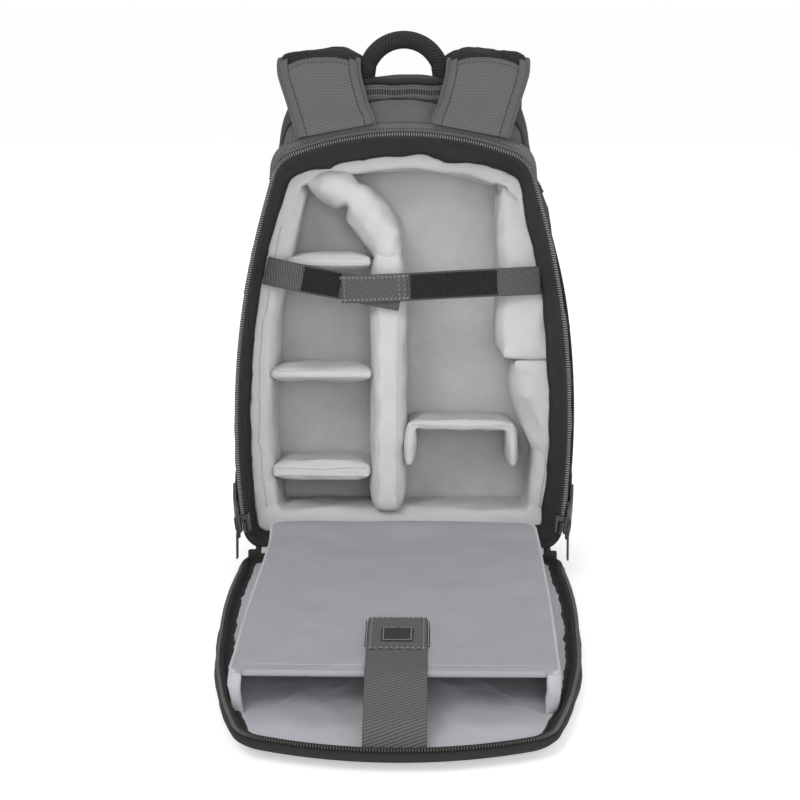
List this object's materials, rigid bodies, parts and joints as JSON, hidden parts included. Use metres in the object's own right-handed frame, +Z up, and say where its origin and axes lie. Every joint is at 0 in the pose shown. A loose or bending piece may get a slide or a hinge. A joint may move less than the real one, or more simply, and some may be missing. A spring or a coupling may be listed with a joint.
{
  "type": "camera backpack",
  "caption": "Rear-access camera backpack, open: arched zip opening, padded dividers, webbing retention straps, fold-down back panel with laptop sleeve, shoulder straps and handle.",
  "frame": {"origin": "centre of the flat base, on the ground", "axes": "+Z up; the opening and the folded-down back panel face -Y; +X to the right of someone facing the opening"},
  "size_m": [0.3144, 0.5942, 0.4936],
  "materials": {
    "outer_fabric": "woven",
    "dark_fabric": "woven",
    "light_lining": "woven",
    "webbing": "woven",
    "hook_tape": "woven",
    "air_mesh": "woven",
    "zip_coil": "matte",
    "plastic": "matte",
    "stiffener_board": "matte",
    "zip_metal": "satin"
  },
  "bodies": {
    "bag": {"angled_divider": "light_lining", "arch_panel": "outer_fabric", "base_board": "stiffener_board", "base_boot": "dark_fabric", "body_zip_chain": "zip_coil", "body_zip_tape": "dark_fabric", "center_divider": "light_lining", "edge_facing": "dark_fabric", "floor_panel": "dark_fabric", "front_partition": "outer_fabric", "front_pocket": "outer_fabric", "hinge_web": "dark_fabric", "insert_back": "light_lining", "insert_wall_bottom": "light_lining", "insert_wall_left": "light_lining", "insert_wall_right": "light_lining", "insert_wall_top": "light_lining", "lower_webbing_left": "webbing", "lower_webbing_right": "webbing", "pocket_zip": "zip_coil", "shelf_left_upper": "light_lining", "side_pad_lower": "light_lining", "side_pad_upper": "light_lining", "side_panel_left": "outer_fabric", "side_panel_right": "outer_fabric", "side_pocket": "dark_fabric", "strap_upper_left": "outer_fabric", "strap_upper_right": "outer_fabric", "top_zip": "zip_coil", "webbing_anchors": "webbing", "yoke_shell": "outer_fabric"},
    "laptop_strap_body": {"laptop_strap": "webbing", "strap_label": "hook_tape"},
    "retention_left": {"retention_strap_left": "webbing"},
    "retention_right": {"retention_strap_right": "webbing"},
    "middle_shelf": {"shelf_left_middle": "light_lining"},
    "lower_shelf": {"shelf_left_lower": "light_lining"},
    "right_shelf": {"shelf_right": "light_lining"},
    "handle": {"carry_handle": "webbing"},
    "strap_left": {"strap_lower_left": "outer_fabric", "ladder_lock_left": "plastic"},
    "strap_right": {"strap_lower_right": "outer_fabric", "ladder_lock_right": "plastic"},
    "slider_left": {"main_slider_left": "zip_metal"},
    "slider_right": {"main_slider_right": "zip_metal"},
    "pull_left": {"main_pull_left": "zip_metal"},
    "pull_right": {"main_pull_right": "zip_metal"},
    "top_slider": {"top_zip_slider": "zip_metal"},
    "pocket_slider": {"pocket_zip_slider": "zip_metal"},
    "pocket_pull": {"pocket_zip_pull": "zip_metal"},
    "back_panel": {"back_pads": "air_mesh", "flap_lining": "light_lining", "flap_outer_panel": "outer_fabric", "flap_rim": "dark_fabric", "flap_stiffener": "stiffener_board", "flap_zip_chain": "zip_coil", "flap_zip_tape": "dark_fabric", "sleeve_gusset": "light_lining", "sleeve_hook_patch": "hook_tape", "sleeve_panel": "light_lining"}
  },
  "joints": [
    {"name": "back_panel_hinge", "type": "hinge", "parent": "bag", "child": "back_panel", "pos_m": [0, -0.1, 0.042], "axis": [1, 0, 0], "range_deg": [-101.4, 0]},
    {"name": "laptop_strap_peel", "type": "hinge", "parent": "back_panel", "child": "laptop_strap_body", "pos_m": [0, -0.46004, 0.0151], "axis": [1, 0, 0], "range_deg": [0, 80]},
    {"name": "retention_right_peel", "type": "hinge", "parent": "bag", "child": "retention_right", "pos_m": [0.123, -0.03464, 0.27568], "axis": [0, 0.1392, 0.9903], "range_deg": [0, 95]},
    {"name": "retention_left_peel", "type": "hinge", "parent": "bag", "child": "retention_left", "pos_m": [-0.124, -0.03135, 0.28329], "axis": [0, -0.1392, -0.9903], "range_deg": [0, 95]},
    {"name": "middle_shelf_slide", "type": "slide", "parent": "bag", "child": "middle_shelf", "axis": [0, -0.9903, 0.1392], "range_m": [0, 0.12]},
    {"name": "lower_shelf_slide", "type": "slide", "parent": "bag", "child": "lower_shelf", "axis": [0, -0.9903, 0.1392], "range_m": [0, 0.12]},
    {"name": "right_shelf_slide", "type": "slide", "parent": "bag", "child": "right_shelf", "axis": [0, -0.9903, 0.1392], "range_m": [0, 0.12]},
    {"name": "carry_handle_tilt", "type": "hinge", "parent": "bag", "child": "handle", "pos_m": [0, -0.01554, 0.46335], "axis": [-1, 0, 0], "range_deg": [0, 75]},
    {"name": "strap_left_swing", "type": "hinge", "parent": "bag", "child": "strap_left", "pos_m": [0, 0.08792, 0.45941], "axis": [1, 0, 0], "range_deg": [0, 30]},
    {"name": "strap_right_swing", "type": "hinge", "parent": "bag", "child": "strap_right", "pos_m": [0, 0.08792, 0.45941], "axis": [1, 0, 0], "range_deg": [0, 30]},
    {"name": "slider_right_travel", "type": "hinge", "parent": "bag", "child": "slider_right", "pos_m": [-0.5505, -0.084, 0.15588], "axis": [0, -0.9903, 0.1392], "range_deg": [0, 22.03]},
    {"name": "slider_left_travel", "type": "hinge", "parent": "bag", "child": "slider_left", "pos_m": [0.5505, -0.084, 0.15588], "axis": [0, 0.9903, -0.1392], "range_deg": [0, 22.03]},
    {"name": "pull_right_swing", "type": "hinge", "parent": "slider_right", "child": "pull_right", "pos_m": [0.14746, -0.09666, 0.06577], "axis": [0, -0.9903, 0.1392], "range_deg": [0, 140]},
    {"name": "pull_left_swing", "type": "hinge", "parent": "slider_left", "child": "pull_left", "pos_m": [-0.14746, -0.09666, 0.06577], "axis": [0, 0.9903, -0.1392], "range_deg": [0, 140]},
    {"name": "top_slider_travel", "type": "slide", "parent": "bag", "child": "top_slider", "axis": [-1, 0, 0], "range_m": [0, 0.14]},
    {"name": "pocket_slider_travel", "type": "slide", "parent": "bag", "child": "pocket_slider", "axis": [1, 0, 0], "range_m": [0, 0.064]},
    {"name": "pocket_pull_swing", "type": "hinge", "parent": "pocket_slider", "child": "pocket_pull", "pos_m": [-0.032, 0.10317, 0.27871], "axis": [1, 0, 0], "range_deg": [0, 150]}
  ],
  "couplings": [
    {"joint": "retention_left_peel", "follows": "retention_right_peel", "ratio": 1}
  ]
}
